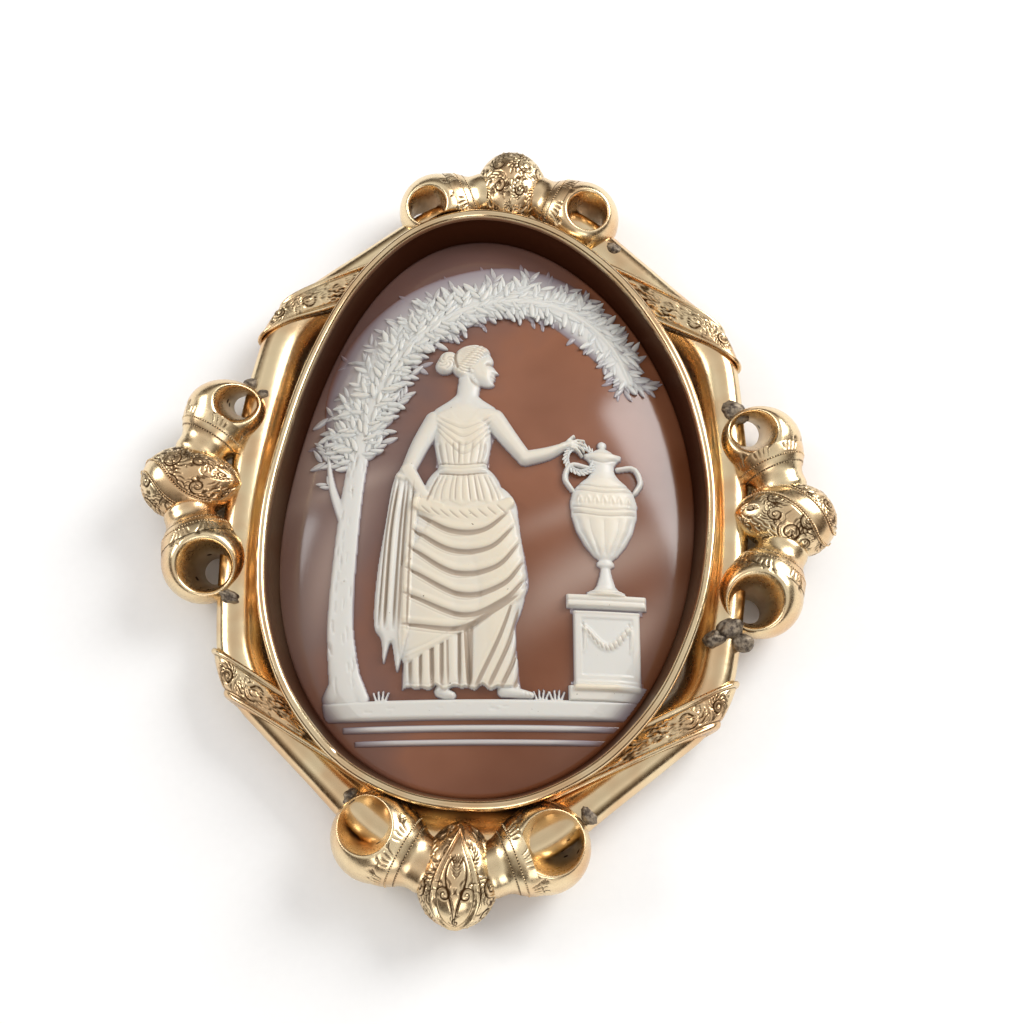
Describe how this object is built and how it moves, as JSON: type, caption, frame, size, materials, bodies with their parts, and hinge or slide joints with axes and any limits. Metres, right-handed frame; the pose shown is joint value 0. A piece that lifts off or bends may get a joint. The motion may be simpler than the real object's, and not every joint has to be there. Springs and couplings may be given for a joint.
{
  "type": "cameo brooch",
  "caption": "Oval shell cameo brooch in a gold tube frame with engraved beads, scroll hoops and wrapped ribbons, with a pin across its back.",
  "frame": {"origin": "on the surface that the brooch lies on, under the middle of its bounding box", "axes": "+X right and +Y up across the face as worn, +Z out of the face, away from the wearer"},
  "size_m": [0.0628, 0.0742, 0.0076],
  "materials": {
    "polished_gold": "polished rose gold",
    "bezel_gold": "polished rose gold",
    "band_gold": "engraved rose gold",
    "bead_gold": "engraved rose gold",
    "hoop_gold": "engraved rose gold",
    "pin_gold": "satin",
    "shell": "polished shell with a cream relief"
  },
  "bodies": {
    "root": {"frame_tube": "polished_gold", "bezel": "bezel_gold", "cameo": "shell", "wrap_band_upper_left": "band_gold", "wrap_band_upper_right": "band_gold", "wrap_band_lower_left": "band_gold", "wrap_band_lower_right": "band_gold", "bead_left": "bead_gold", "bead_right": "bead_gold", "bead_top": "bead_gold", "bead_bottom": "bead_gold", "hoop_left_upper": "hoop_gold", "hoop_left_lower": "hoop_gold", "hoop_right_upper": "hoop_gold", "hoop_right_lower": "hoop_gold", "hoop_top_left": "hoop_gold", "hoop_top_right": "hoop_gold", "hoop_bottom_left": "hoop_gold", "hoop_bottom_right": "hoop_gold", "pin_and_catch": "pin_gold"}
  },
  "joints": []
}
